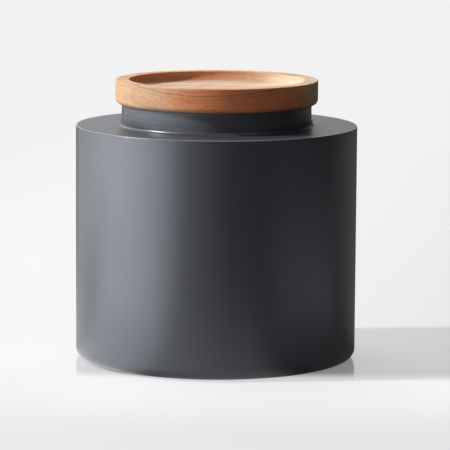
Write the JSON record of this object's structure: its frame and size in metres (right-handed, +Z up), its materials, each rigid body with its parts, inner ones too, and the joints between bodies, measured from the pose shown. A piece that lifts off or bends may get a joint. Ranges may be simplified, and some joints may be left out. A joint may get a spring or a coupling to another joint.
{
  "type": "kitchen canister",
  "caption": "Squat round steel kitchen canister with a straight dark wall, a short neck and a lift-off turned wooden lid with a dished top and a finned seal.",
  "frame": {"origin": "centre of the foot ring's underside, on the surface the canister stands on", "axes": "+Z up along the canister's axis; X and Y are alike, because the body and lid are round"},
  "size_m": [0.178, 0.178, 0.1773],
  "materials": {
    "charcoal_coat": "satin powder coat",
    "lid_wood": "oiled, fine turned",
    "silicone": "matte translucent silicone",
    "foot_rubber": "matte",
    "screw_steel": "bright zinc"
  },
  "bodies": {
    "canister": {"body_cup": "charcoal_coat", "foot_ring": "foot_rubber", "shoulder_plate": "charcoal_coat", "neck_collar": "charcoal_coat"},
    "lid": {"lid_disc": "lid_wood", "lid_plug": "lid_wood", "lid_gasket": "silicone", "lid_screws": "screw_steel"}
  },
  "joints": [
    {"name": "lid_lift", "type": "slide", "parent": "canister", "child": "lid", "axis": [0, 0, 1], "range_m": [0, 0.06]}
  ]
}
